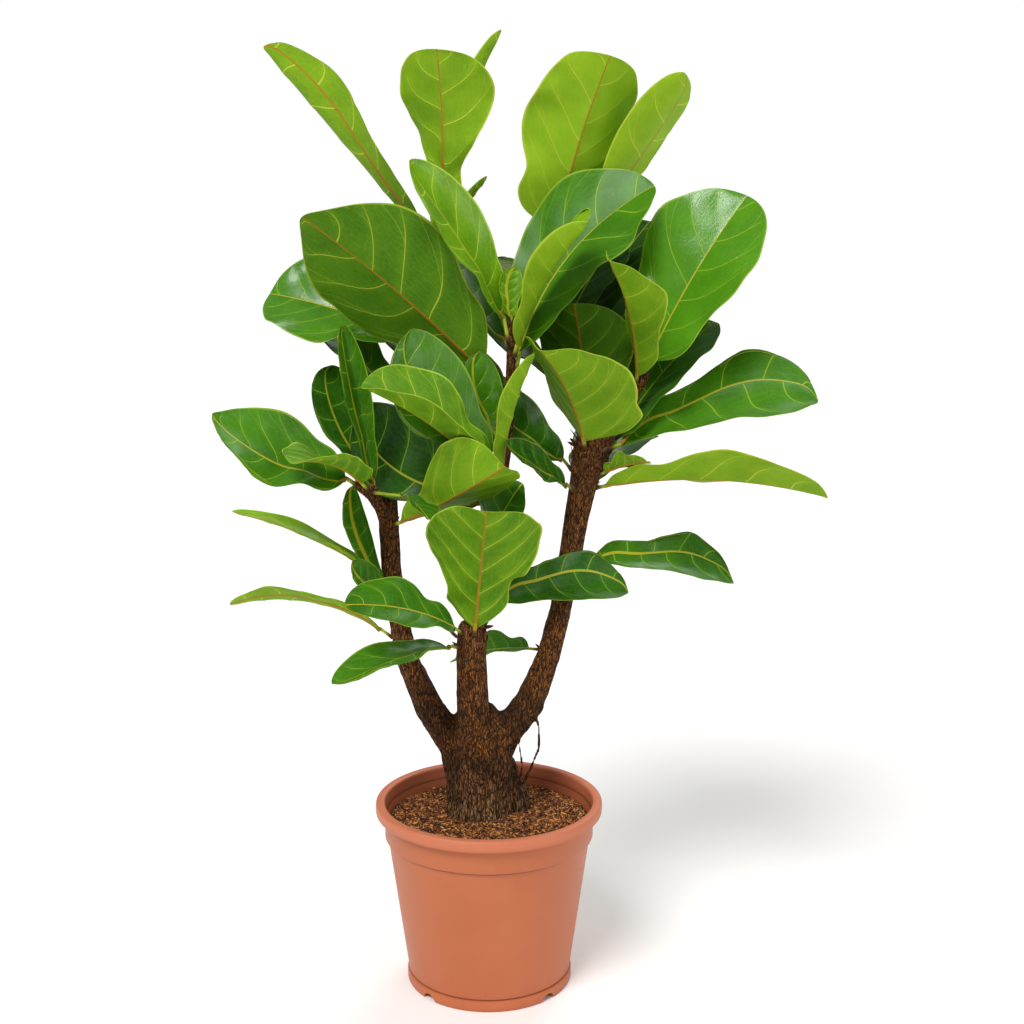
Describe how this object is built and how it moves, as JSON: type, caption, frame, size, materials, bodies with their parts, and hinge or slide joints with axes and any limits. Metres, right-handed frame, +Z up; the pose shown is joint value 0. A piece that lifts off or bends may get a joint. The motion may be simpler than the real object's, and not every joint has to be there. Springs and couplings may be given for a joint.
{
  "type": "potted fiddle leaf fig",
  "caption": "Potted fiddle leaf fig: a forked woody trunk with broad waved leaves, growing in soil in a round moulded nursery pot.",
  "frame": {"origin": "middle of the pot's base, on the surface that the pot stands on", "axes": "+Z up along the pot's axis, -Y towards the side that the plant shows, +X to the right seen from there"},
  "size_m": [0.7597, 0.4624, 1.2384],
  "materials": {
    "pot": "satin moulded terracotta-coloured plastic",
    "soil": "coarse dry coir and bark mix",
    "bark": "rough dark bark with pale flecks",
    "leaf_old": "dark waxy green leaf with pale veins",
    "leaf_grown": "glossy mid green leaf with pale veins",
    "leaf_young": "soft yellow-green leaf with yellow veins"
  },
  "bodies": {
    "root": {"leaf_centre_01": "leaf_grown", "leaf_centre_02": "leaf_grown", "leaf_centre_03": "leaf_young", "leaf_centre_04": "leaf_young", "leaf_centre_05": "leaf_grown", "leaf_centre_06": "leaf_old", "leaf_centre_07": "leaf_young", "leaf_centre_08": "leaf_old", "leaf_front_01": "leaf_grown", "leaf_front_02": "leaf_young", "leaf_front_03": "leaf_old", "leaf_front_04": "leaf_old", "leaf_front_05": "leaf_young", "leaf_front_06": "leaf_grown", "leaf_left_01": "leaf_young", "leaf_left_02": "leaf_young", "leaf_left_03": "leaf_young", "leaf_left_04": "leaf_grown", "leaf_left_05": "leaf_grown", "leaf_left_06": "leaf_young", "leaf_left_07": "leaf_young", "leaf_left_08": "leaf_old", "leaf_left_09": "leaf_young", "leaf_left_10": "leaf_young", "leaf_left_11": "leaf_old", "leaf_left_12": "leaf_grown", "leaf_left_13": "leaf_old", "leaf_left_14": "leaf_grown", "leaf_middle_01": "leaf_young", "leaf_middle_02": "leaf_grown", "leaf_middle_03": "leaf_grown", "leaf_outer_01": "leaf_grown", "leaf_outer_02": "leaf_young", "leaf_right_01": "leaf_young", "leaf_right_02": "leaf_grown", "leaf_right_03": "leaf_young", "leaf_right_04": "leaf_grown", "leaf_right_05": "leaf_grown", "leaf_right_06": "leaf_old", "leaf_right_07": "leaf_young", "leaf_right_08": "leaf_old", "leaf_right_09": "leaf_old", "leaf_right_10": "leaf_old", "leaf_side_01": "leaf_grown", "leaf_side_02": "leaf_grown", "leaf_side_03": "leaf_young", "leaf_side_04": "leaf_old", "leaf_side_05": "leaf_grown", "leaf_top_01": "leaf_young", "leaf_top_02": "leaf_young", "leaf_top_03": "leaf_old", "leaf_top_04": "leaf_old", "leaf_top_05": "leaf_old", "leaf_top_06": "leaf_old", "leaf_top_07": "leaf_old", "leaf_top_08": "leaf_grown", "leaf_top_09": "leaf_grown", "pot": "pot", "soil": "soil", "trunk": "bark"}
  },
  "joints": []
}
